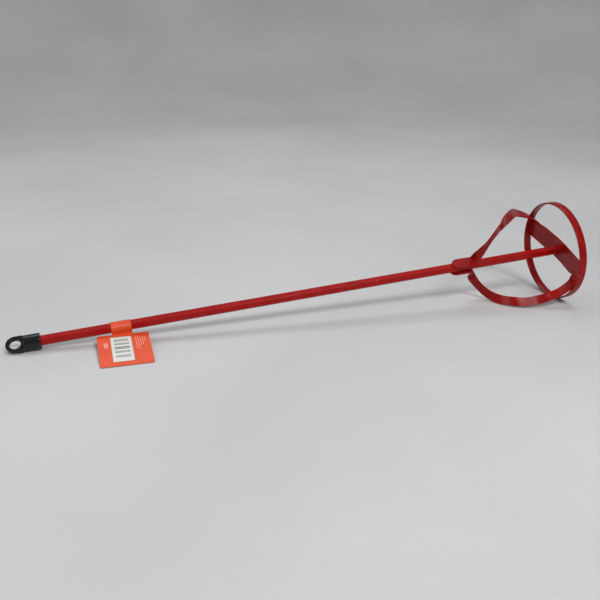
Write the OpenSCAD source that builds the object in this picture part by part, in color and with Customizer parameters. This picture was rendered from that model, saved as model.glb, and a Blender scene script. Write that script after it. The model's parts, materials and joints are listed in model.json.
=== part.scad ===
// Drill-driven paint and mud mixer, lying on a flat surface.
// Every sub-part is drawn in the shaft's own frame: +Z runs along the shaft towards the head,
// with z = 0 at the hoop's shaft-side rim, +X points up and +Y towards the near side.
// lie_down() then lays the whole mixer on z = 0, resting on its hoop and its hanging cap.

/* [Shaft] */
// Hexagonal bar, size across its flats
bar_af = 11.1; // [9:0.1:13]
// Length of bar from the hoop's shaft-side rim back to its shank end
bar_reach = 677; // [400:1:700]
// Chamfer on the shank end
bar_chamfer = 1.4; // [0.5:0.1:2]

/* [Hoop] */
// Outer radius of the hoop
hoop_r = 65; // [50:1:80]
// Width of the hoop's band, along the shaft
hoop_w = 10; // [6:0.5:16]
// Thickness of the hoop's band
hoop_t = 2; // [1.5:0.1:3]

/* [Blade] */
// Sheet thickness of the blade
blade_t = 2; // [1.5:0.1:3]
// Width of the cross vane
vane_w = 27; // [18:1:34]
// Turn of the vane from straight up, towards the far side
vane_turn = 73; // [60:1:85]
// Distance from the hoop's rim plane to the middle of the vane
vane_apex = 12.5; // [6:0.5:16]
// Lean of each half of the vane, back towards the shaft
vane_lean = 4.6; // [0:0.1:8]
// Half-length of the flat in the middle of the vane, where the bar is welded
vane_flat = 9; // [7:0.5:14]
// Distance from the axis to the middle of each fold
fold_s = 51.5; // [40:0.5:54]
// Length of the tab that lies on the shaft
tab_len = 30; // [20:1:40]
// Distance from the hoop's rim plane back to the tab's round end
tab_reach = 147; // [120:1:170]
// Width of the tab
tab_w = 15; // [11:0.5:18]
// Width of the arm, halfway along
arm_w = 12; // [9:0.5:15]
// Width of the arm at its fold
fold_w = 15; // [11:0.5:18]
// Turn of the upper tab from straight up, towards the near side
tab_turn = 30; // [0:1:60]

/* [Hanging cap] */
// Radius of the sleeve
sleeve_r = 9.3; // [8:0.1:12]
// Length of the sleeve
sleeve_len = 18.6; // [14:0.1:26]
// Chamfer round the sleeve's closed end
sleeve_chamfer = 1.2; // [0.5:0.1:2]
// Gap between the hexagonal socket and each flat of the bar
socket_gap = 0.1; // [0.05:0.01:0.3]
// Depth of the socket
socket_depth = 16.8; // [10:0.1:20]
// Radius of the hole in the hanging eye
eye_hole_r = 6.3; // [4:0.1:8]
// Outer radius of the hanging eye
eye_r = 10.6; // [9:0.1:13]
// Thickness of the hanging eye
eye_t = 4.5; // [3:0.1:6]
// Distance from the sleeve's closed end to the middle of the eye's hole
eye_offset = 9.3; // [8:0.1:14]
// Turn of the eye's face from straight up, towards the near side
eye_turn = 35; // [0:1:90]

/* [Tag] */
// Distance from the hoop's rim plane back to the middle of the tag
tag_reach = 570; // [300:1:620]
// Width of the strip that wraps the bar
wrap_w = 23.2; // [15:0.1:40]
// Inner radius of the wrap, clear of the bar's corners
wrap_r = 6.75; // [6.7:0.05:8]
// Thickness of the card
card_t = 0.8; // [0.5:0.1:1.5]
// Width of the card, along the shaft
card_w = 59; // [40:1:80]
// Distance from the axis to the card's near edge
card_far = 73; // [50:1:90]
// Distance from the axis to the card's top edge
card_near = 6.5; // [2:0.5:8]
// Droop of the card below level
card_droop = 8; // [0:1:9]
// Twist of the card that brings it level, though the bar slopes
card_twist = 5; // [0:0.5:9]
// Width of the bar-code label
label_w = 23.5; // [15:0.5:30]
// Length of the bar-code label
label_len = 53; // [30:0.5:60]
// Distance from the axis to the label's top edge
label_near = 12; // [8:0.5:20]
// Offset of the label from the middle of the card, towards the head
label_shift = -3; // [-8:0.5:8]
// Thickness of the label
label_t = 0.2; // [0.1:0.05:0.4]

/* [Welds] */
// Radius of the weld beads
bead_r = 1.6; // [1:0.1:2.5]

/* [Hidden] */

$fn = 96;
bar_corner_r = bar_af / 2 / cos(30);
bar_end = vane_apex - blade_t / 2;
bar_len = bar_reach + bar_end;
hoop_in = hoop_r - hoop_t;
vane_round_r = hoop_in - 0.3;
sleeve_z = -bar_reach - (sleeve_len - socket_depth);
eye_z = sleeve_z - eye_offset;
cap_tip = eye_z - eye_r;
weld_red = [0.58, 0.07, 0.06];

// Distance between the two resting points and their heights set the angle that the shaft lies at
lie_angle = atan((hoop_r - sleeve_r) / -(sleeve_z + sleeve_chamfer));
lift = hoop_r * cos(lie_angle);
x_low = cap_tip * cos(lie_angle);
x_high = hoop_w * cos(lie_angle) + hoop_r * sin(lie_angle);
y_low = -card_far * cos(card_droop);
y_high = hoop_r;

module lie_down() {
    translate([-(x_low + x_high) / 2, -(y_low + y_high) / 2, lift])
        rotate([180, -(90 + lie_angle), 0])
            children();
}

// Height of the vane's middle surface at a distance from the axis
function vane_z(s) = vane_apex - max(0, s - vane_flat) * tan(vane_lean);
// Radial unit vector at an angle from straight up towards the near side
function radial(a) = [cos(a), sin(a), 0];
function unit(v) = v / norm(v);

// Stations of an arm's middle line: [z, radius, turn, roll of its width, width].
// The strip leaves the tab, rises on edge to the widest radius, and winds round to its fold.
tab_r = bar_af / 2 + blade_t / 2;
fold_offset = (vane_w - blade_t) / 2 + 0.3;
fold_r = norm([fold_s, fold_offset]);
fold_turn = -vane_turn + atan(fold_offset / fold_s);
fold_z = vane_z(fold_s) + blade_t / 2;
// Each arm has its own line, because the two do not run quite alike
upper_line = [
    [-113.5, 19.5, 33, 32, arm_w - 0.5],
    [-107.5, 31.3, 31, 8, arm_w - 0.5],
    [-98.5, 41.9, 24.9, -3, arm_w - 0.5],
    [-87.4, 50.3, 17.8, -1.5, arm_w],
    [-78, 51.6, 8.7, 7, arm_w],
    [-65.7, 52.4, -4.3, 17, arm_w],
    [-51.5, 55.8, -17.5, 15.5, arm_w],
    [-38.3, 59.5, -31.1, 11.5, arm_w],
    [-26, 61.3, -41, 12.5, arm_w],
    [-10, 58.4, -47.3, 19, arm_w],
];
lower_line = [
    [-113.5, 19.5, 33, 32, arm_w - 0.5],
    [-105.5, 32.8, 31.5, 9, arm_w - 0.5],
    [-98, 41.3, 22.4, -1, arm_w - 0.5],
    [-89.8, 48.2, 9, 3, arm_w],
    [-80, 53, -12, 12, arm_w],
    [-67.5, 57.5, -24.5, 15, arm_w],
    [-54, 61.3, -30, 13, arm_w],
    [-39.5, 62.1, -33, 10, arm_w],
    [-25.8, 61.6, -38.5, 11, arm_w],
    [-9.5, 58.9, -41.5, 18.5, arm_w],
];
function stations(line) = concat([
    [-tab_reach + tab_len - 8, tab_r, tab_turn, 90, tab_w],
    [-tab_reach + tab_len - 0.5, tab_r + 0.65, tab_turn, 88, tab_w - 1],
], line, [[fold_z, fold_r, fold_turn, 14.7, fold_w]]);
steps = 5;

// Catmull-Rom blend of four neighbouring stations
function blend(p, q, r, s, t) = 0.5 * (2 * q + (r - p) * t
    + (2 * p - 5 * q + 4 * r - s) * t * t
    + (3 * q - p - 3 * r + s) * t * t * t);
function station(all, i) = all[max(0, min(len(all) - 1, i))];
// The blend is held clear of the bar, and never rolls past flat
function arm_at(all, i, t) = let (
        b = blend(station(all, i - 1), station(all, i), station(all, i + 1), station(all, i + 2), t))
    [b[0], max(b[1], tab_r), b[2], min(b[3], 90), b[4]];

// The tab runs straight along the bar, and its end is half an ellipse
tab_round = 9;
function tab_width(d) = tab_w * (d < tab_round ? sqrt(1 - pow(1 - (d + 0.25) / (tab_round + 0.25), 2)) : 1);
tab_rows = [for (d = [0, 0.6, 1.8, 3.6, 6, tab_round, tab_len - 12])
    [-tab_reach + d, tab_r, tab_turn, 90, tab_width(d)]];
function arm_rows(all) = concat(tab_rows,
    [for (i = [0 : len(all) - 2], k = [0 : steps - 1]) arm_at(all, i, k / steps)],
    [all[len(all) - 1]]);

function middle(row) = row[1] * radial(row[2]) + [0, 0, row[0]];
function tangent(rows, i) =
    unit(middle(rows[min(i + 1, len(rows) - 1)]) - middle(rows[max(i - 1, 0)]));
function along(rows, i) = i <= len(tab_rows) ? [0, 0, 1] : tangent(rows, i);
function across(row, t) = let (
        e = radial(row[2]),
        out = unit(e - (e * t) * t))
    cos(row[3]) * out + sin(row[3]) * cross(out, t);
// Four corners of the strip's section at row i
function corners(rows, i) = let (
        t = along(rows, i),
        m = middle(rows[i]),
        w = across(rows[i], t),
        h = w * rows[i][4] / 2,
        n = unit(cross(t, w)) * blade_t / 2)
    [m + h + n, m - h + n, m - h - n, m + h - n];

module arm(line) {
    rows = arm_rows(stations(line));
    last = len(rows) - 1;
    points = [for (i = [0 : last]) each corners(rows, i)];
    sides = [for (i = [0 : last - 1], k = [0 : 3]) let (m = (k + 1) % 4)
        each [[4 * i + k, 4 * i + 4 + m, 4 * i + m], [4 * i + k, 4 * i + 4 + k, 4 * i + 4 + m]]];
    ends = [[0, 1, 2], [0, 2, 3], [4 * last, 4 * last + 2, 4 * last + 1],
        [4 * last, 4 * last + 3, 4 * last + 2]];
    polyhedron(points = points, faces = concat(sides, ends), convexity = 6);
}

// The vane is flat where the bar meets it, its two halves lean back from there,
// and its ends follow the hoop
module vane() {
    drop = (hoop_r - vane_flat) * tan(vane_lean);
    under = vane_apex - blade_t / 2;
    over = vane_apex + blade_t / 2;
    intersection() {
        rotate([90, 0, -vane_turn])
            linear_extrude(height = vane_w, center = true)
                polygon([
                    [-hoop_r, under - drop],
                    [-vane_flat, under],
                    [vane_flat, under],
                    [hoop_r, under - drop],
                    [hoop_r, over - drop],
                    [vane_flat, over],
                    [-vane_flat, over],
                    [-hoop_r, over - drop],
                ]);
        cylinder(r = vane_round_r, h = 3 * vane_apex);
    }
}

module hex_bar(af, h) {
    rotate(tab_turn + 30)
        cylinder(r = af / 2 / cos(30), h = h, $fn = 6);
}

module shaft() {
    lie_down() color([0.62, 0.07, 0.06])
        translate([0, 0, -bar_reach])
            rotate(tab_turn + 30) {
                cylinder(r1 = bar_corner_r - bar_chamfer, r2 = bar_corner_r, h = bar_chamfer, $fn = 6);
                translate([0, 0, bar_chamfer])
                    cylinder(r = bar_corner_r, h = bar_len - bar_chamfer, $fn = 6);
            }
}

module mixing_blade() {
    lie_down() color([0.66, 0.08, 0.07])
        union() {
            vane();
            arm(upper_line);
            rotate(180)
                arm(lower_line);
        }
}

module hoop() {
    lie_down() color([0.64, 0.06, 0.05])
        difference() {
            cylinder(r = hoop_r, h = hoop_w);
            translate([0, 0, -1])
                cylinder(r = hoop_in, h = hoop_w + 2);
        }
}

// One bead along each long edge of a tab, in the corner between its underside and the bar
module tab_beads() {
    bead_len = tab_len - 14;
    for (side = [-1, 1])
        rotate(tab_turn)
            translate([bar_af / 2 - 0.5, side * (bar_corner_r / 2 + 0.9), -tab_reach + 8])
                cylinder(r = bead_r * 0.7, h = bead_len, $fn = 24);
}

module upper_tab_weld() {
    lie_down() color(weld_red)
        tab_beads();
}

module lower_tab_weld() {
    lie_down() color(weld_red)
        rotate(180)
            tab_beads();
}

// A bead round the end of the bar, where it butts against the vane
module shaft_end_weld() {
    lie_down() color(weld_red)
        translate([0, 0, bar_end])
            intersection() {
                rotate_extrude()
                    translate([bar_corner_r - 0.4, 0])
                        circle(r = bead_r, $fn = 32);
                translate([0, 0, -bead_r])
                    cylinder(r = 2 * bar_corner_r, h = bead_r);
            }
}

// A bead across the end of the vane, in the corner that it makes with the hoop
module hoop_bead() {
    rotate(-vane_turn)
        translate([hoop_in - 1, 0, vane_z(hoop_in) - blade_t / 2 - 0.3])
            rotate([90, 0, 0])
                cylinder(r = bead_r, h = vane_w - 9, center = true, $fn = 32);
}

module far_hoop_weld() {
    lie_down() color(weld_red)
        hoop_bead();
}

module near_hoop_weld() {
    lie_down() color(weld_red)
        rotate(180)
            hoop_bead();
}

// The hoop is a strip bent round, and this bead closes its butt joint
module hoop_seam_weld() {
    lie_down() color(weld_red)
        rotate(-vane_turn - 62)
            translate([hoop_in - 0.2, 0, 0.4])
                intersection() {
                    cylinder(r = 1.5, h = hoop_w - 0.8, $fn = 32);
                    translate([-2, -2, 0])
                        cube([2.1, 4, hoop_w]);
                }
}

module hanging_cap() {
    lie_down() color([0.05, 0.05, 0.055])
        difference() {
            union() {
                translate([0, 0, sleeve_z])
                    rotate_extrude()
                        polygon([
                            [0, 0],
                            [sleeve_r - sleeve_chamfer, 0],
                            [sleeve_r, sleeve_chamfer],
                            [sleeve_r, sleeve_len - 0.8],
                            [sleeve_r - 0.8, sleeve_len],
                            [0, sleeve_len],
                        ]);
                rotate(eye_turn)
                    translate([0, 0, eye_z])
                        rotate([0, 90, 0]) {
                            cylinder(r = eye_r, h = eye_t, center = true);
                            translate([-eye_offset - 3, -eye_r, -eye_t / 2])
                                cube([eye_offset + 3, 2 * eye_r, eye_t]);
                        }
            }
            translate([0, 0, -bar_reach])
                hex_bar(bar_af + 2 * socket_gap, socket_depth + 1);
            rotate(eye_turn)
                translate([0, 0, eye_z])
                    rotate([0, 90, 0])
                        cylinder(r = eye_hole_r, h = 4 * eye_t, center = true);
        }
}

module tag_frame() {
    translate([0, 0, -tag_reach])
        rotate(card_droop)
            children();
}

// The card's own frame: its underside is x = 0, and it is twisted out of line with the bar
module card_frame() {
    translate([-wrap_r - card_t, 0, 0])
        rotate([0, -card_twist, 0])
            children();
}

// A loop round the bar, and a short neck that joins it to a flat card on the near side
module tag_card() {
    loop_r = wrap_r + card_t;
    neck = card_near + 1.5;
    lie_down() color([0.93, 0.30, 0.12])
        tag_frame()
            difference() {
                union() {
                    cylinder(r = loop_r, h = wrap_w, center = true);
                    translate([-loop_r, 0, -wrap_w / 2])
                        cube([card_t, neck, wrap_w]);
                    card_frame()
                        translate([0, card_near, -card_w / 2])
                            cube([card_t, card_far - card_near, card_w]);
                }
                cylinder(r = wrap_r, h = 2 * card_w, center = true);
            }
}

module barcode_label() {
    lie_down() color([0.88, 0.89, 0.86])
        tag_frame()
            card_frame()
                translate([card_t, label_near, label_shift - label_w / 2])
                    cube([label_t, label_len, label_w]);
}

shaft();
mixing_blade();
hoop();
upper_tab_weld();
lower_tab_weld();
shaft_end_weld();
near_hoop_weld();
far_hoop_weld();
hoop_seam_weld();
hanging_cap();
tag_card();
barcode_label();
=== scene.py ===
"""Drill paint mixer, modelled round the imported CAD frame.

Every piece is built in the shaft's own frame, in millimetres: x is up, y is towards the near
side and z runs along the bar towards the head, with z = 0 at the hoop's shaft-side rim.
"""

import json
import math

import bpy
from mathutils import Matrix, Vector, noise


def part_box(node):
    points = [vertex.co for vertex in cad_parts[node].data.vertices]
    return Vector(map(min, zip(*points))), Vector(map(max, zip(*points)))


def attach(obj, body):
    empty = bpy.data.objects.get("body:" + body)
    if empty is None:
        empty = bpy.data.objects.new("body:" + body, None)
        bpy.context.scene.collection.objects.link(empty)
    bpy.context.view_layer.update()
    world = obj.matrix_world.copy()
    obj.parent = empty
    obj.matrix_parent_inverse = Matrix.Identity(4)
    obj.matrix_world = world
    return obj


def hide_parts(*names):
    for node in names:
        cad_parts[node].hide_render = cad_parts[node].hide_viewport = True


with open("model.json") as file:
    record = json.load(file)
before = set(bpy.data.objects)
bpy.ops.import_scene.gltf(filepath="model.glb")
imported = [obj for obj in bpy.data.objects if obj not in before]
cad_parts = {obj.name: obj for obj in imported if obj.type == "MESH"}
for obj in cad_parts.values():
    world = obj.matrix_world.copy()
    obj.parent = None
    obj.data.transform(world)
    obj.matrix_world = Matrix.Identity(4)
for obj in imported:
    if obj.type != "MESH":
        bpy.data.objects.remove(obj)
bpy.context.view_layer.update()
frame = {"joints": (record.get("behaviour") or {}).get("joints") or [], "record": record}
record = frame["record"]

# ---------------------------------------------------------------- sizes, from the frame
mounts = {m["name"]: m for m in record["mounts"]}
joints = {j["name"]: j for j in frame["joints"]}
AXIS = Vector(joints["tag_turn"]["axis"]).normalized()
NEAR = Vector((0.0, -1.0, 0.0))
UP = NEAR.cross(AXIS)
LIE = math.asin(AXIS.z)


def span(node):
    """Centre and size of a CAD node's box, in metres."""
    low, high = (Vector(corner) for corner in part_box(node))
    return (low + high) / 2, high - low


hoop_middle, hoop_span = span("hoop")
HOOP_R = hoop_span.y * 500
HOOP_W = (hoop_span.x * 1000 - 2 * HOOP_R * math.sin(LIE)) / math.cos(LIE)
HOOP_T = 2.0
ORIGIN = hoop_middle - AXIS * HOOP_W / 2000
PLACE = Matrix.Translation(ORIGIN) @ Matrix(
    [(UP[i], NEAR[i], AXIS[i]) for i in range(3)]
).to_4x4()
LOCAL = PLACE.inverted()


def local(point):
    """A point of the row frame, in metres, in the shaft's frame, in millimetres."""
    return LOCAL @ Vector(point) * 1000


SHANK_Z = local(mounts["drill_shank"]["pos_m"]).z
EYE = local(mounts["hang_eye"]["pos_m"])
EYE_HOLE_R = mounts["hang_eye"]["dims"]["r_mm"]
EYE_T = mounts["hang_eye"]["dims"]["length_mm"]
EYE_TURN = math.degrees(
    math.atan2(*(Vector(mounts["hang_eye"]["axis"]).dot(v) for v in (NEAR, UP)))
)
TAG_Z = local(joints["tag_turn"]["pos_m"]).z
BAR_AF = 2 * local(span("shaft")[0] + Vector((0, span("shaft")[1].y / 2, 0))).y * -1
SHEET = 2.0  # thickness of the blade
K = HOOP_R / 65  # the head's shape is set out on a 65 mm hoop


def radial(turn):
    """Radial unit vector at an angle in degrees from straight up, towards the near side."""
    a = math.radians(turn)
    return Vector((math.cos(a), math.sin(a), 0))


# ---------------------------------------------------------------- mesh helpers
def make(name, points, faces, material, body, slot, stands_for=()):
    """A piece from points in millimetres in the shaft's frame."""
    mesh = bpy.data.meshes.new(name)
    mesh.from_pydata([PLACE @ (Vector(p) / 1000) for p in points], [], faces)
    mesh.validate()
    mesh.update()
    mesh.shade_smooth()
    obj = bpy.data.objects.new(name, mesh)
    bpy.context.scene.collection.objects.link(obj)
    mesh.materials.append(material)
    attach(obj, body)
    if stands_for:
        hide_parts(*stands_for)
    return obj


def sweep(loops, closed_path=False, closed_loop=True, caps=True):
    """Points and faces of a skin over loops that have the same number of points."""
    n = len(loops[0])
    points = [p for loop in loops for p in loop]
    faces = []
    rows = len(loops) if closed_path else len(loops) - 1
    cols = n if closed_loop else n - 1
    for i in range(rows):
        k = (i + 1) % len(loops)
        for j in range(cols):
            m = (j + 1) % n
            faces.append((i * n + j, i * n + m, k * n + m, k * n + j))
    if caps and closed_loop and not closed_path:
        faces.append(tuple(reversed(range(n))))
        faces.append(tuple(range((len(loops) - 1) * n, len(loops) * n)))
    return points, faces


def grid(rows, cols):
    """Faces of a sheet with rows by cols cells, whose points run along one row after another."""
    faces = []
    for i in range(rows):
        for j in range(cols):
            a = i * (cols + 1) + j
            faces.append((a, a + 1, a + cols + 2, a + cols + 1))
    return faces


def ease(f):
    """A smooth step from 0 to 1."""
    return f * f * (3 - 2 * f)


def join(*parts):
    """Several (points, faces) as one."""
    points, faces = [], []
    for p, f in parts:
        base = len(points)
        points += p
        faces += [tuple(i + base for i in face) for face in f]
    return points, faces


def bevel(obj, width, segments, angle):
    """Round the edges that turn by more than an angle."""
    mod = obj.modifiers.new("edge", "BEVEL")
    mod.width = width / 1000
    mod.segments = segments
    mod.limit_method = "ANGLE"
    mod.angle_limit = math.radians(angle)
    mod.harden_normals = True


def thicken(obj, thickness):
    """Give a sheet its thickness, half on each side."""
    mod = obj.modifiers.new("sheet", "SOLIDIFY")
    mod.thickness = thickness / 1000
    mod.offset = 0
    mod.use_even_offset = True


def wobble(p, size, seed=0.0):
    """Smooth noise between about -1 and 1 at a point in millimetres."""
    return noise.noise(Vector(p) / size + Vector((seed, 3.1 * seed, 7.7)))


def tube(path, radius, sides=14, ripple=0.0, pitch=1.5, seed=0.0):
    """A bead along a path, with the scaly ripples of a weld and rounded ends."""
    loops = []
    length = 0.0
    total = sum((path[i + 1] - path[i]).length for i in range(len(path) - 1))
    for i, p in enumerate(path):
        if i:
            length += (p - path[i - 1]).length
        t = (path[min(i + 1, len(path) - 1)] - path[max(i - 1, 0)]).normalized()
        side = t.orthogonal().normalized()
        if abs(t.z) < 0.95:
            side = t.cross(Vector((0, 0, 1))).normalized()
        other = t.cross(side)
        end = min(length, total - length) / radius
        taper = math.sqrt(max(0.02, 1 - (1 - min(1.0, end)) ** 2))
        r = radius * taper * (1 + ripple * math.sin(2 * math.pi * length / pitch))
        r *= 1 + 0.12 * wobble(p, 3.0, seed)
        loops.append([
            p + (side * math.cos(a) + other * math.sin(a)) * r
            for a in (2 * math.pi * k / sides for k in range(sides))
        ])
    return sweep(loops)


# ---------------------------------------------------------------- materials
class Nodes:
    """A material's node tree, with short ways to add to it."""

    def __init__(self, name, color):
        self.material = bpy.data.materials.new(name)
        self.material.use_nodes = True
        self.material.diffuse_color = (*color, 1)
        self.tree = self.material.node_tree
        self.shader = self.tree.nodes["Principled BSDF"]
        # Object coordinates, turned so that z runs along the bar
        coords = self.add("ShaderNodeTexCoord")
        aligned = self.add("ShaderNodeMapping")
        aligned.inputs["Rotation"].default_value = LOCAL.to_euler()
        self.link(coords.outputs["Object"], aligned.inputs["Vector"])
        self.at = aligned.outputs["Vector"]

    def add(self, kind, **values):
        node = self.tree.nodes.new(kind)
        for key, value in values.items():
            setattr(node, key, value)
        return node

    def link(self, a, b):
        self.tree.links.new(a, b)

    def noise(self, scale, detail, rough, stretch=(1, 1, 1)):
        mapping = self.add("ShaderNodeMapping")
        mapping.inputs["Scale"].default_value = stretch
        self.link(self.at, mapping.inputs["Vector"])
        node = self.add("ShaderNodeTexNoise")
        node.inputs["Scale"].default_value = scale
        node.inputs["Detail"].default_value = detail
        node.inputs["Roughness"].default_value = rough
        self.link(mapping.outputs["Vector"], node.inputs["Vector"])
        return node.outputs["Fac"]

    def ramp(self, source, *stops):
        node = self.add("ShaderNodeValToRGB")
        elements = node.color_ramp.elements
        for i, (place, color) in enumerate(stops):
            e = elements[i] if i < 2 else elements.new(place)
            e.position = place
            e.color = (*color, 1)
        self.link(source, node.inputs["Fac"])
        return node.outputs["Color"]

    def levels(self, source, low, high, out_low, out_high):
        node = self.add("ShaderNodeMapRange")
        node.inputs["From Min"].default_value = low
        node.inputs["From Max"].default_value = high
        node.inputs["To Min"].default_value = out_low
        node.inputs["To Max"].default_value = out_high
        self.link(source, node.inputs["Value"])
        return node.outputs["Result"]

    def mix(self, factor, a, b):
        """Color b over color a. The factor and a are sockets, and b is a plain color."""
        node = self.add("ShaderNodeMix", data_type="RGBA")
        self.link(factor, node.inputs[0])
        self.link(a, node.inputs[6])
        node.inputs[7].default_value = (*b, 1)
        return node.outputs[2]

    def bump(self, *layers):
        """Bumps from (height, strength, distance in mm), one on another."""
        last = None
        for height, strength, distance in layers:
            node = self.add("ShaderNodeBump")
            node.inputs["Strength"].default_value = strength
            node.inputs["Distance"].default_value = distance / 1000
            self.link(height, node.inputs["Height"])
            if last:
                self.link(last, node.inputs["Normal"])
            last = node.outputs["Normal"]
        self.link(last, self.shader.inputs["Normal"])


def red_paint(name, deep, light, peel=0.16, wear=0.66):
    """Glossy red enamel over steel: uneven colour, orange peel, and a few dull scuffs."""
    m = Nodes(name, light)
    broad = m.noise(28, 4, 0.6)
    fine = m.noise(420, 3, 0.6)
    along = m.noise(900, 2, 0.5, (1, 1, 0.05))
    color = m.ramp(broad, (0.32, deep), (0.68, light))
    color = m.mix(m.levels(fine, 0.35, 0.75, 0.0, 0.25), color, deep)
    scuff = m.levels(m.noise(75, 6, 0.72, (1, 1, 0.45)), wear, wear + 0.07, 0.0, 0.75)
    color = m.mix(scuff, color, (0.34, 0.10, 0.085))
    chip = m.levels(m.noise(230, 5, 0.7), 0.735, 0.75, 0.0, 1.0)
    color = m.mix(chip, color, (0.10, 0.085, 0.08))
    m.link(color, m.shader.inputs["Base Color"])
    gloss = m.add("ShaderNodeMath", operation="ADD")
    m.link(m.levels(broad, 0.3, 0.7, 0.17, 0.29), gloss.inputs[0])
    m.link(m.levels(scuff, 0.0, 0.75, 0.0, 0.25), gloss.inputs[1])
    m.link(gloss.outputs["Value"], m.shader.inputs["Roughness"])
    m.shader.inputs["Specular IOR Level"].default_value = 0.2
    m.bump(
        (m.noise(560, 2, 0.5), peel, 0.25),
        (along, 0.08, 0.06),
        (chip, 0.35, -0.08),
    )
    return m.material


def black_moulding():
    """Soft black polyethylene: satin, with a faint grain, dust and flow marks."""
    m = Nodes("black_moulding", (0.02, 0.02, 0.022))
    grain = m.noise(1500, 3, 0.6)
    flow = m.noise(60, 4, 0.6, (1, 1, 0.3))
    dust = m.levels(m.noise(190, 7, 0.75), 0.58, 0.82, 0.0, 0.25)
    color = m.ramp(flow, (0.3, (0.004, 0.004, 0.0045)), (0.7, (0.008, 0.008, 0.009)))
    color = m.mix(dust, color, (0.03, 0.029, 0.027))
    m.link(color, m.shader.inputs["Base Color"])
    m.link(m.levels(grain, 0.3, 0.7, 0.14, 0.24), m.shader.inputs["Roughness"])
    m.shader.inputs["Specular IOR Level"].default_value = 0.36
    m.bump((grain, 0.18, 0.08), (flow, 0.25, 0.3))
    return m.material


def printed_card(name, low, high, rough=(0.34, 0.5)):
    """Printed card: an even ink with paper fibre under it and a slight sheen."""
    m = Nodes(name, high)
    fibre = m.noise(1300, 4, 0.65, (1, 1, 0.35))
    cloud = m.noise(45, 3, 0.5)
    color = m.ramp(cloud, (0.3, low), (0.7, high))
    color = m.mix(m.levels(fibre, 0.4, 0.8, 0.0, 0.22), color, low)
    m.link(color, m.shader.inputs["Base Color"])
    m.link(m.levels(fibre, 0.3, 0.7, *rough), m.shader.inputs["Roughness"])
    m.bump((fibre, 0.12, 0.04), (cloud, 0.2, 0.35))
    return m.material


def floor_cloth():
    """Pale, slightly uneven cloth."""
    m = Nodes("pale_floor", (0.6, 0.6, 0.6))
    cloud = m.noise(2.2, 4, 0.55)
    weave = m.noise(700, 2, 0.5)
    color = m.ramp(cloud, (0.3, (0.56, 0.555, 0.55)), (0.7, (0.63, 0.628, 0.625)))
    m.link(color, m.shader.inputs["Base Color"])
    m.link(m.levels(weave, 0.3, 0.7, 0.6, 0.75), m.shader.inputs["Roughness"])
    m.bump((weave, 0.05, 0.1))
    return m.material


BAR_PAINT = red_paint("bar_enamel", (0.28, 0.003, 0.003), (0.37, 0.0045, 0.004))
BLADE_PAINT = red_paint("blade_enamel", (0.22, 0.003, 0.003), (0.31, 0.0045, 0.004), 0.2, 0.64)
WELD_PAINT = red_paint("weld_enamel", (0.19, 0.003, 0.003), (0.28, 0.0045, 0.004), 0.3, 0.62)
BLACK = black_moulding()
ORANGE = printed_card("orange_card", (0.74, 0.068, 0.014), (0.82, 0.090, 0.022))
WRAP_ORANGE = printed_card("orange_wrap", (0.66, 0.055, 0.008), (0.74, 0.075, 0.012))
LABEL = printed_card("label_stock", (0.70, 0.72, 0.66), (0.78, 0.80, 0.75), (0.4, 0.55))
INK = printed_card("label_ink", (0.09, 0.10, 0.10), (0.14, 0.15, 0.15), (0.45, 0.6))
PALE_INK = printed_card("pale_ink", (0.82, 0.42, 0.30), (0.88, 0.55, 0.42), (0.4, 0.55))

# ---------------------------------------------------------------- bar
TAB_TURN = 30.0


def hexagon(af):
    """Points round a hexagon with rounded corners, with flats at TAB_TURN plus multiples of 60."""
    corner = 0.8
    lead = 0.6  # how far beside each corner the flat has a point, so that it shades flat
    points = []
    reach = (af / 2 - corner) / math.cos(math.radians(30))
    for k in range(6):
        mid = TAB_TURN + 30 + 60 * k
        centre = radial(mid) * reach
        first = centre + radial(mid - 30) * corner
        last = centre + radial(mid + 30) * corner
        before = radial(mid - 30 - 90) * lead
        after = radial(mid + 30 + 90) * lead
        points.append(first + before)
        for step in range(5):
            points.append(centre + radial(mid - 30 + 15 * step) * corner)
        points.append(last + after)
    return points


def build_bar():
    """The bar, with its end chamfered. Returns where it meets the vane."""
    bar_top = local(span("shaft_end_weld")[0]).z + 1.2
    chamfer = 1.9
    loops = []
    for z, shrink in ((0, 1.5), (0.25, 1.15), (1.4, 0.15), (chamfer, 0.0)):
        loops.append([p + Vector((0, 0, SHANK_Z + z)) for p in hexagon(BAR_AF - 2 * shrink)])
    rows = 90
    for i in range(1, rows + 1):
        z = SHANK_Z + chamfer + (bar_top - SHANK_Z - chamfer) * i / rows
        ring = []
        for p in hexagon(BAR_AF):
            swell = 1 - 0.004 * (0.5 + 0.5 * wobble((0, 0, z), 45.0, 2.0))
            ring.append(Vector((p.x * swell, p.y * swell, z)))
        loops.append(ring)
    make("hex_bar", *sweep(loops), BAR_PAINT, "mixer", "painted_bar", ("shaft",))
    return bar_top


BAR_TOP = build_bar()

# ---------------------------------------------------------------- blade
VANE_TURN = -73.0
VANE_W = 27.0 * K
VANE_APEX = BAR_TOP + SHEET / 2
VANE_LEAN = math.tan(math.radians(4.6))
VANE_FLAT = 9.0 * K
VANE_REACH = (HOOP_R - HOOP_T) - 0.3
ALONG = radial(VANE_TURN)
ACROSS = radial(VANE_TURN + 90)
FOLD_MIDDLE = 51.5 * K
FOLD_W = 15.0 * K
FOLD_R = 2.6
TAB_R = BAR_AF / 2 + SHEET / 2
TAB_END = -147.0 * K
TAB_LEN = 30.0 * K
TAB_W = 15.0 * K
TAB_ROUND = 9.0 * K


def vane_z(s):
    """Height of the vane's middle surface at a distance along it from the bar."""
    return VANE_APEX - max(0.0, abs(s) - VANE_FLAT) * VANE_LEAN


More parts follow.
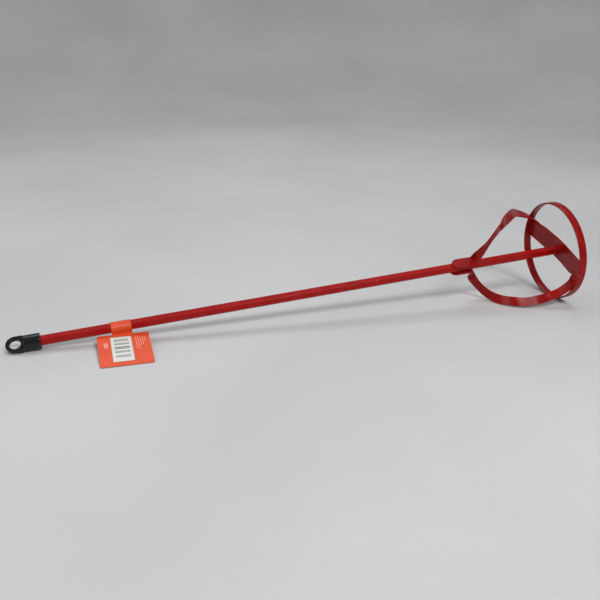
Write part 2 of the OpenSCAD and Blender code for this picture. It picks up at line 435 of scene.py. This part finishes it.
# Each arm's middle line, the same as in the CAD: z, radius, turn, roll of its width, width
UPPER_LINE = [
    (-113.5, 19.5, 33, 32, 11.5),
    (-107.5, 31.3, 31, 8, 11.5),
    (-98.5, 41.9, 24.9, -3, 11.5),
    (-87.4, 50.3, 17.8, -1.5, 12),
    (-78, 51.6, 8.7, 7, 12),
    (-65.7, 52.4, -4.3, 17, 12),
    (-51.5, 55.8, -17.5, 15.5, 12),
    (-38.3, 59.5, -31.1, 11.5, 12),
    (-26, 61.3, -41, 12.5, 12),
    (-10, 58.4, -47.3, 19, 12),
]
LOWER_LINE = [
    (-113.5, 19.5, 33, 32, 11.5),
    (-105.5, 32.8, 31.5, 9, 11.5),
    (-98, 41.3, 22.4, -1, 11.5),
    (-89.8, 48.2, 9, 3, 12),
    (-80, 53, -12, 12, 12),
    (-67.5, 57.5, -24.5, 15, 12),
    (-54, 61.3, -30, 13, 12),
    (-39.5, 62.1, -33, 10, 12),
    (-25.8, 61.6, -38.5, 11, 12),
    (-9.5, 58.9, -41.5, 18.5, 12),
]
fold_offset = VANE_W / 2 - SHEET / 2 + 0.3


def stations(line):
    """An arm's own line with the end of its tab before it and its fold after it."""
    return [
        (TAB_END + TAB_LEN - 8, TAB_R, TAB_TURN, 90, TAB_W),
        (TAB_END + TAB_LEN - 0.5, TAB_R + 0.65, TAB_TURN, 88, TAB_W - 1),
        *line,
        (
            vane_z(FOLD_MIDDLE) + SHEET / 2,
            math.hypot(FOLD_MIDDLE, fold_offset),
            VANE_TURN + math.degrees(math.atan(fold_offset / FOLD_MIDDLE)),
            14.7,
            FOLD_W,
        ),
    ]


def blend(points, i, t):
    """A smooth curve through the stations, held clear of the bar and never rolled past flat."""
    p, q, r, s = (points[max(0, min(len(points) - 1, i + k))] for k in (-1, 0, 1, 2))
    z, reach, turn, roll, width = (
        0.5 * (2 * b + (c - a) * t + (2 * a - 5 * b + 4 * c - d) * t * t
               + (3 * b - a - 3 * c + d) * t ** 3)
        for a, b, c, d in zip(p, q, r, s)
    )
    return [z, max(reach, TAB_R), turn, min(roll, 90), width]


def arm_rows(line):
    """(middle, unit vector across the width, width) for each row, from the tab's round end."""
    points = stations(line)
    rows = []
    for d in (0.0, 0.25, 0.7, 1.3, 2.1, 3.1, 4.3, 5.7, 7.2, TAB_ROUND, 13, 18):
        width = TAB_W
        if d < TAB_ROUND:
            width *= math.sqrt(1 - (1 - (d + 0.2) / (TAB_ROUND + 0.2)) ** 2)
        rows.append([TAB_END + d, TAB_R, TAB_TURN, 90, width])
    steps = 14
    for i in range(len(points) - 1):
        for k in range(steps):
            rows.append(blend(points, i, k / steps))
    limit = vane_z(FOLD_MIDDLE) - FOLD_R - 1.5
    rows = [r for r in rows if r[0] < limit]
    middles = [radial(r[2]) * r[1] + Vector((0, 0, r[0])) for r in rows]
    out = []
    for i, r in enumerate(rows):
        t = (middles[min(i + 1, len(rows) - 1)] - middles[max(i - 1, 0)]).normalized()
        if i <= 12:
            t = Vector((0, 0, 1))
        e = radial(r[2])
        e = (e - t * e.dot(t)).normalized()
        side = e.cross(t)
        roll = math.radians(r[3])
        out.append((middles[i], e * math.cos(roll) + side * math.sin(roll), r[4]))
    return out


def blade_half(line):
    """One half of the blade's middle surface: half of the vane, its fold, and an arm."""
    cols = 12
    last_row = 12
    flat_rows = 26
    bend_rows = 7
    fillet = 6.0
    inner = FOLD_MIDDLE - FOLD_W / 2
    outer = FOLD_MIDDLE + FOLD_W / 2
    edge = fold_offset

    def fold_r(s):
        """The bend's radius fades out where the corner's fillet meets the vane's edge."""
        tight = 0.05
        f = min(1.0, max(0.0, (s - (inner - fillet)) / (fillet + 2)))
        return tight + (FOLD_R - tight) * ease(f)

    def spare(drop):
        """How far the fillet reaches beyond the arm's inner edge, that far below the vane."""
        return fillet - math.sqrt(max(0.0, fillet ** 2 - max(0.0, fillet - drop) ** 2))

    start = inner - fillet
    fold_s = [start + (outer - start) * j / cols for j in range(cols + 1)]
    s_list = [start * j / flat_rows for j in range(flat_rows)] + fold_s
    s_list += [outer + (VANE_REACH - outer) * (j + 1) / 3 for j in range(3)]

    points, faces, index = [], [], {}
    for i, s in enumerate(s_list):
        if s < start - 1.5:
            high = VANE_W / 2
        elif s < start:
            high = edge + (VANE_W / 2 - edge) * (start - s) / 1.5
        else:
            high = edge - fold_r(min(s, outer))
        for j in range(last_row + 1):
            n = -VANE_W / 2 + (high + VANE_W / 2) * j / last_row
            inside = math.sqrt(max(0.0, VANE_REACH ** 2 - n * n))
            at = min(s, inside)
            index[i, j] = len(points)
            points.append(ALONG * at + ACROSS * n + Vector((0, 0, vane_z(at))))
    for i in range(len(s_list) - 1):
        for j in range(last_row):
            faces.append((index[i, j], index[i + 1, j], index[i + 1, j + 1], index[i, j + 1]))

    previous = [index[flat_rows + j, last_row] for j in range(cols + 1)]
    for step in range(1, bend_rows + 1):
        a = math.pi / 2 * step / bend_rows
        row = []
        for j in range(cols + 1):
            bend = fold_r(fold_s[j])
            drop = bend * (1 - math.cos(a))
            low = inner - spare(FOLD_R * (1 - math.cos(a)))
            s = low + (outer - low) * j / cols
            n = edge - bend + bend * math.sin(a)
            # the tight end of the bend carries on straight down, level with the rest
            drop += (FOLD_R - bend) * (step / bend_rows) ** 1.5
            row.append(len(points))
            points.append(ALONG * s + ACROSS * n + Vector((0, 0, vane_z(s) - drop)))
        for j in range(cols):
            faces.append((previous[j], previous[j + 1], row[j + 1], row[j]))
        previous = row
    base = vane_z(FOLD_MIDDLE)
    for middle, across, width in reversed(arm_rows(line)):
        extra = spare(base - middle.z) if base - middle.z < fillet else 0.0
        row = []
        for j in range(cols + 1):
            low = -width / 2 - extra
            row.append(len(points))
            points.append(middle + across * (low + (width / 2 - low) * j / cols))
        for j in range(cols):
            faces.append((previous[j], previous[j + 1], row[j + 1], row[j]))
        previous = row
    return points, faces


def build_blade():
    """The whole blade: the lower half is turned half round the bar."""
    upper, faces = blade_half(UPPER_LINE)
    lower, more = blade_half(LOWER_LINE)
    turned = [Vector((-p[0], -p[1], p[2])) for p in lower]
    mesh = join((upper, faces), (turned, more))
    obj = make("stamped_blade", *mesh, BLADE_PAINT, "mixer", "painted_blade", ("mixing_blade",))
    weld = obj.modifiers.new("seam", "WELD")
    weld.merge_threshold = 0.00005
    thicken(obj, SHEET)
    bevel(obj, 0.45, 3, 50)


build_blade()


# ---------------------------------------------------------------- hoop
def build_hoop():
    """The hoop's band, with rounded edges and slight dips."""
    loops = []
    steps = 192
    inner, outer = HOOP_R - HOOP_T, HOOP_R
    edge = 0.45
    profile = []
    for (x, y), start in (
        ((outer - edge, HOOP_W - edge), 0), ((inner + edge, HOOP_W - edge), 90),
        ((inner + edge, edge), 180), ((outer - edge, edge), 270),
    ):
        for k in range(4):
            a = math.radians(start + 30 * k)
            profile.append((x + edge * math.cos(a), y + edge * math.sin(a)))
    for i in range(steps):
        turn = 360 * i / steps
        dip = 0.12 * (0.5 + 0.5 * wobble(radial(turn) * HOOP_R, 30.0, 5.0))
        loops.append([radial(turn) * (r - dip) + Vector((0, 0, z)) for r, z in profile])
    band = sweep(loops, closed_path=True)
    make("hoop_band", *band, BLADE_PAINT, "mixer", "painted_blade", ("hoop",))


build_hoop()


# ---------------------------------------------------------------- welds
def build_welds():
    """Every weld bead: beside both tabs, round the bar's end, on the hoop, and on its seam."""
    half = SHEET / 2
    sides = 14
    for name, turn, seed in (("upper_tab_weld", 0, 1.0), ("lower_tab_weld", 180, 4.0)):
        beads = []
        corner = BAR_AF / 2 * math.tan(math.radians(30))
        for side in (-1, 1):
            path = []
            for k in range(49):
                z = TAB_END + 7 + (TAB_LEN - 14) * k / 48
                p = radial(TAB_TURN + turn) * (BAR_AF / 2 - 0.1)
                p += radial(TAB_TURN + turn + 90) * side * (corner + 0.55)
                p += Vector((0, 0, z))
                path.append(p)
            beads.append(tube(path, 0.8, sides, 0.10, 1.7, seed + side))
        make(name + "_beads", *join(*beads), WELD_PAINT, "mixer", "painted_weld", (name,))
    ring = []
    for k in range(145):
        turn = 360 * k / 144
        off = (turn - TAB_TURN + 30) % 60 - 30
        reach = BAR_AF / 2 / math.cos(math.radians(off)) + 0.1
        ring.append(radial(turn) * reach + Vector((0, 0, BAR_TOP - 0.35)))
    make("shaft_end_bead", *tube(ring, 1.25, sides, 0.09, 1.9, 9.0), WELD_PAINT, "mixer",
         "painted_weld", ("shaft_end_weld",))
    for name, turn in (("far_hoop_weld", 0), ("near_hoop_weld", 180)):
        path = []
        for k in range(61):
            n = (VANE_W - 9) * (k / 60 - 0.5)
            s = math.sqrt((HOOP_R - HOOP_T - 0.4) ** 2 - n * n)
            p = ALONG * s + ACROSS * n
            p = Vector((p.x, p.y, 0)) * (-1 if turn else 1)
            path.append(p + Vector((0, 0, vane_z(s) - half - 0.25)))
        make(name + "_bead", *tube(path, 1.35, sides, 0.10, 1.8, turn / 50 + 2), WELD_PAINT,
             "mixer", "painted_weld", (name,))
    seam = radial(VANE_TURN - 62) * (HOOP_R - HOOP_T - 0.05)
    path = [seam + Vector((0, 0, 0.7 + (HOOP_W - 1.4) * k / 30)) for k in range(31)]
    make("hoop_seam_bead", *tube(path, 1.0, sides, 0.08, 1.6, 12.0), WELD_PAINT, "mixer",
         "painted_weld", ("hoop_seam_weld",))


build_welds()

# ---------------------------------------------------------------- hanging cap
SLEEVE_R = 9.3
SLEEVE_LEN = 18.6
SOCKET_DEPTH = 16.8
EYE_R = 10.6
SLEEVE_Z = SHANK_Z - (SLEEVE_LEN - SOCKET_DEPTH)


def build_cap():
    """The cap: a sleeve with a hexagonal socket, and a flat eye on its closed end."""
    n = 96
    turns = [360 * k / n for k in range(n)]

    def circle(r, z):
        return [radial(t) * r + Vector((0, 0, SLEEVE_Z + z)) for t in turns]

    def hexed(af, z):
        ring = []
        widest = af / 2 / math.cos(math.radians(30)) - 0.25
        for t in turns:
            off = (t - TAB_TURN + 30) % 60 - 30
            r = min(af / 2 / math.cos(math.radians(off)), widest)
            ring.append(radial(t) * r + Vector((0, 0, SLEEVE_Z + z)))
        return ring

    low_round = 1.3
    top_round = 0.8
    loops = [circle(2.0, 0.0), circle(SLEEVE_R - 1.7, 0.0), circle(SLEEVE_R - low_round, 0.06)]
    for k in range(1, 7):
        a = math.radians(15 * k)
        r = SLEEVE_R - low_round + low_round * math.sin(a)
        loops.append(circle(r, low_round - low_round * math.cos(a)))
    for k in range(1, 12):
        waist = SLEEVE_R - 0.05 * math.sin(math.pi * k / 12)
        loops.append(circle(waist, low_round + (SLEEVE_LEN - 2.2) * k / 12))
    for k in range(0, 7):
        a = math.radians(15 * k)
        r = SLEEVE_R - top_round + top_round * math.cos(a)
        loops.append(circle(r, SLEEVE_LEN - top_round + top_round * math.sin(a)))
    loops.append(circle(SLEEVE_R - 1.4, SLEEVE_LEN))
    gap = 0.2  # twice the clearance on each flat
    loops.append(hexed(BAR_AF + gap + 0.9, SLEEVE_LEN))
    loops.append(hexed(BAR_AF + gap + 0.35, SLEEVE_LEN - 0.12))
    loops.append(hexed(BAR_AF + gap, SLEEVE_LEN - 0.5))
    for k in range(1, 5):
        loops.append(hexed(BAR_AF + gap, SLEEVE_LEN - 0.5 - (SOCKET_DEPTH - 0.6) * k / 4))
    loops.append(hexed(6.0, SLEEVE_LEN - SOCKET_DEPTH + 0.02))
    sleeve = sweep(loops)

    # Eye: an outline round the hole, from the tip to inside the sleeve
    face = radial(EYE_TURN)
    wide = radial(EYE_TURN + 90)
    centre_z = EYE.z
    into = SLEEVE_Z + 2.2 - centre_z
    shoulder = SLEEVE_Z - 1.6 - centre_z

    def outline(a):
        """Distance from the hole's middle to the eye's edge; a = 0 points at the sleeve."""
        c, s = math.cos(a), abs(math.sin(a))
        if c <= 0:
            return EYE_R
        reach = min(into / c if c > 1e-6 else 1e9, EYE_R / s if s > 1e-6 else 1e9)
        # corner cut from full width at the shoulder to the sleeve's width
        run, fall = into - shoulder, EYE_R - (SLEEVE_R - 0.9)
        slope = fall / run
        cut = (EYE_R + slope * shoulder) / (s + slope * c)
        return min(reach, cut)

    angles = [2 * math.pi * k / 144 for k in range(144)]
    edge = 0.9
    hole_edge = 0.55

    def rim(offset, height):
        loop = []
        for a in angles:
            r = outline(a) - offset
            loop.append(wide * (math.sin(a) * r) + face * height
                        + Vector((0, 0, centre_z + math.cos(a) * r)))
        return loop

    def bore(offset, height):
        r = EYE_HOLE_R + offset
        return [wide * (math.sin(a) * r) + face * height
                + Vector((0, 0, centre_z + math.cos(a) * r)) for a in angles]

    half = EYE_T / 2
    loops = []
    for k in range(0, 7):
        a = math.radians(15 * k)
        loops.append(rim(edge * (1 - math.cos(a)), half - edge + edge * math.sin(a)))
    loops.append(rim(edge + 0.5, half))
    for k in range(0, 6):
        a = math.radians(18 * k)
        height = half - hole_edge + hole_edge * math.cos(a)
        loops.append(bore(hole_edge - hole_edge * math.sin(a), height))
    for k in range(0, 6):
        a = math.radians(18 * k)
        height = -half + hole_edge - hole_edge * math.sin(a)
        loops.append(bore(hole_edge - hole_edge * math.cos(a), height))
    loops.append(rim(edge + 0.5, -half))
    for k in range(0, 7):
        a = math.radians(15 * k)
        loops.append(rim(edge * (1 - math.sin(a)), -half + edge - edge * math.cos(a)))
    eye = sweep(loops, closed_path=True)

    # Two faint ribs where the mould's halves met, and the stub left by its gate
    ribs = []
    for side in (90, -90):
        foot = radial(EYE_TURN + side) * (SLEEVE_R - 0.12)
        path = [foot + Vector((0, 0, SLEEVE_Z + 1.6 + 15.6 * k / 20)) for k in range(21)]
        ribs.append(tube(path, 0.16, 8))
    stub = Vector((0, 0, SLEEVE_Z + 13))
    gate = [radial(EYE_TURN) * (SLEEVE_R - 0.3 + 0.12 * k) + stub for k in range(5)]
    ribs.append(tube(gate, 0.7, 16))
    make("moulded_cap", *join(sleeve, eye, *ribs), BLACK, "cap", "black_plastic", ("hanging_cap",))


build_cap()

# ---------------------------------------------------------------- tag
WRAP_R = 6.75
CARD_T = 0.8
WRAP_W = 23.2
CARD_W = 59.0
CARD_FAR = 73.0
CARD_NEAR = 6.5
DROOP = 8.0
TWIST = 5.0
CARD_BOW = 0.35
BOW_REACH = 34.0  # the bow would die away this far to either side of the card's middle
LABEL_W = 23.5
LABEL_LEN = 53.0
LABEL_NEAR = 12.0
LABEL_SHIFT = -3.0

TAG_FRAME = Matrix.Translation((0, 0, TAG_Z)) @ Matrix.Rotation(math.radians(DROOP), 4, "Z")
CARD_FRAME = TAG_FRAME @ Matrix.Translation((-WRAP_R - CARD_T, 0, 0)) @ Matrix.Rotation(
    math.radians(-TWIST), 4, "Y"
)


def on_card(y, z, height=0.0):
    """A point on the bowed card's middle surface, or above it.

    y runs out from the bar, and z along it."""
    bow = CARD_BOW * math.sin(math.pi * y / CARD_FAR) * (1 - (z / BOW_REACH) ** 2)
    return CARD_FRAME @ Vector((CARD_T / 2 + bow + height, y, z))


def build_card():
    """The card's sheet, and the strip that wraps the bar."""
    rows, cols = 36, 30
    corner = 0.8
    points = []
    for i in range(rows + 1):
        y = CARD_NEAR + (CARD_FAR - CARD_NEAR) * i / rows
        near_end = min(y - CARD_NEAR, CARD_FAR - y)
        cut = corner - math.sqrt(max(0, corner ** 2 - max(0, corner - near_end) ** 2))
        half = CARD_W / 2 - cut
        for j in range(cols + 1):
            z = half * (2 * j / cols - 1)
            points.append(on_card(y, z))
    card = make("tag_card_sheet", points, grid(rows, cols), ORANGE, "tag", "tag_paper", ("tag_card",))
    thicken(card, 0.5)
    bevel(card, 0.12, 2, 60)

    # Wrap: from under the bar round its far side and over the top, down to the card again
    path = []
    for k in range(8):
        path.append(Vector((-WRAP_R - CARD_T / 2 + 0.02, 9.5 - 9.5 * k / 8, 0)))
    for k in range(73):
        turn = 180 + 4.0 * k
        off = (turn + DROOP - TAB_TURN + 30) % 60 - 30
        hexy = (BAR_AF / 2 + 0.45) / math.cos(math.radians(off))
        r = 0.55 * (WRAP_R + CARD_T / 2) + 0.45 * min(hexy, WRAP_R + 0.25)
        if turn < 200:
            f = (turn - 180) / 20
            r = (WRAP_R + CARD_T / 2) * (1 - f) + r * f
        path.append(radial(-turn) * r)
    last = path[-1]
    for k in range(1, 7):
        f = k / 6
        target = Vector((-WRAP_R + CARD_T * 0.35 + 0.25, 12.5, 0))
        path.append(last.lerp(target, f))
    points = []
    cols = 16
    for p in path:
        for j in range(cols + 1):
            z = WRAP_W * (j / cols - 0.5)
            q = Vector((p.x, p.y, z))
            if p.y > 1.0 and p.x < -4:
                f = min(1.0, (p.y - 1.0) / 8.0)
                q.x -= math.tan(math.radians(TWIST)) * z * ease(f)
            points.append(TAG_FRAME @ q)
    faces = grid(len(path) - 1, cols)
    wrap = make("tag_wrap_strip", points, faces, WRAP_ORANGE, "tag", "tag_paper")
    thicken(wrap, 0.4)
    bevel(wrap, 0.1, 2, 60)


def patch(y0, y1, z0, z1, height, nx, nz):
    """A thin patch that follows the card's upper face."""
    points, faces = [], []
    for i in range(nx + 1):
        y = y0 + (y1 - y0) * i / nx
        for j in range(nz + 1):
            z = z0 + (z1 - z0) * j / nz
            points.append(on_card(y, z, height))
    for i in range(nx):
        for j in range(nz):
            a = i * (nz + 1) + j
            faces.append((a, a + nz + 1, a + nz + 2, a + 1))
    return points, faces


def build_label():
    """The label, with a made-up pattern of bars that encodes nothing."""
    z0 = LABEL_SHIFT - LABEL_W / 2
    z1 = LABEL_SHIFT + LABEL_W / 2
    label = make("label_sticker", *patch(LABEL_NEAR, LABEL_NEAR + LABEL_LEN, z0, z1, 0.36, 24, 12),
                 LABEL, "tag", "label_paper", ("barcode_label",))
    thicken(label, 0.16)
    # Bars, stacked down the card, in five uneven groups; the widths repeat a plain rhythm
    bars = []
    y = LABEL_NEAR + 5.2
    rhythm = (0.5, 1.5, 0.9, 0.5, 2.0, 0.5, 1.2)
    groups = ((5.6, 0.62), (5.2, 0.72), (5.8, 0.9), (5.8, 0.74), (5.0, 0.5))
    k = 0
    for depth, dark in groups:
        end = y + depth
        while y < end:
            w = rhythm[k % len(rhythm)] * dark
            k += 1
            if y + w > end:
                break
            bars.append(patch(y, y + w, z0 + 3.4, z1 - 3.4, 0.47, 1, 12))
            y += w + 0.45 + 0.35 * (k % 3 == 0)
        y = end + 3.1
    make("label_bars", *join(*bars), INK, "tag", "label_paper")


def build_print():
    """Plain dashes that stand for lines of print, with no letters in them."""
    dashes = []
    for z, start, words in (
        (13.5, 16, (5, 3.5, 7, 4)), (16.0, 15, (4, 6, 3, 5.5, 4)), (18.5, 17, (6, 4, 5)),
        (21.0, 15.5, (3, 7, 4.5)), (23.5, 16, (5, 4)),
    ):
        y = start
        for w in words:
            dashes.append(patch(y, y + w, z, z + 0.7, 0.29, 3, 1))
            y += w + 1.6
    for z, y, w in ((-22.0, 24, 10), (-20.2, 22.5, 13), (-18.6, 25, 8)):
        dashes.append(patch(y, y + w, z - 0.45, z + 0.45, 0.29, 4, 1))
    make("card_print", *join(*dashes), PALE_INK, "tag", "tag_paper")


build_card()
build_label()
build_print()


# ---------------------------------------------------------------- floor, lights and camera
def area_light(name, place, aim, size, power, tint=(1, 1, 1)):
    """A rectangular light at a place, in metres, that points at another."""
    light = bpy.data.lights.new(name, "AREA")
    light.shape = "RECTANGLE"
    light.size, light.size_y = size
    light.energy = power
    light.color = tint
    obj = bpy.data.objects.new(name, light)
    obj.location = place
    obj.rotation_euler = (Vector(aim) - Vector(place)).to_track_quat("-Z", "Y").to_euler()
    bpy.context.scene.collection.objects.link(obj)


def build_stage():
    """A pale floor that curves up a long way out, so that no horizon shows, and the lights."""
    mesh = bpy.data.meshes.new("floor")
    points, faces = [(0.0, 0.0, 0.0)], []
    around = 96
    flat_reach = 2.0
    curve = 1.6
    rings = [(flat_reach * k / 8, 0.0) for k in range(1, 9)]
    for k in range(1, 11):
        a = math.radians(9 * k)
        rings.append((flat_reach + curve * math.sin(a), curve - curve * math.cos(a)))
    rings += [(3.6, 2.6), (3.6, 4.0)]
    for r, z in rings:
        for k in range(around):
            a = 2 * math.pi * k / around
            points.append((r * math.cos(a), r * math.sin(a), z))
    for k in range(around):
        faces.append((0, 1 + k, 1 + (k + 1) % around))
    for i in range(len(rings) - 1):
        for k in range(around):
            a, b = 1 + i * around + k, 1 + i * around + (k + 1) % around
            faces.append((a, a + around, b + around, b))
    mesh.from_pydata(points, [], faces)
    mesh.update()
    mesh.shade_smooth()
    mesh.materials.append(floor_cloth())
    floor = bpy.data.objects.new("floor", mesh)
    bpy.context.scene.collection.objects.link(floor)

    area_light("key", (0.35, -1.6, 1.75), (0.0, 0.1, 0.0), (0.7, 0.5), 29)
    area_light("overhead", (0.0, 1.0, 1.9), (0.0, 0.75, 0.0), (2.4, 1.2), 18, (0.97, 0.985, 1.0))
    area_light("side_fill", (-1.5, -1.0, 0.9), (0.2, 0.0, 0.05), (1.4, 0.9), 8)

    world = bpy.data.worlds.new("studio")
    world.use_nodes = True
    background = world.node_tree.nodes["Background"]
    background.inputs["Color"].default_value = (0.92, 0.95, 1.0, 1)
    background.inputs["Strength"].default_value = 0.35
    bpy.context.scene.world = world
    bpy.context.scene.view_settings.view_transform = "Standard"


def build_camera():
    """The camera's place and aim, in the shaft's frame."""
    place = Vector((337.0, 835.0, -570.0))
    forward = Vector((-0.37, -0.899, 0.2343)).normalized()
    right = Vector((-0.074, 0.28, 0.9571))
    right = (right - forward * right.dot(forward)).normalized()
    up = right.cross(forward)
    turn = Matrix([(right[i], up[i], -forward[i]) for i in range(3)]).to_4x4()
    data = bpy.data.cameras.new("camera")
    data.lens = 45.0
    data.sensor_width = 36.0
    data.clip_start = 0.01
    data.clip_end = 20
    camera = bpy.data.objects.new("camera", data)
    camera.matrix_world = PLACE @ Matrix.Translation(place / 1000) @ turn
    bpy.context.scene.collection.objects.link(camera)
    bpy.context.scene.camera = camera


build_stage()
build_camera()
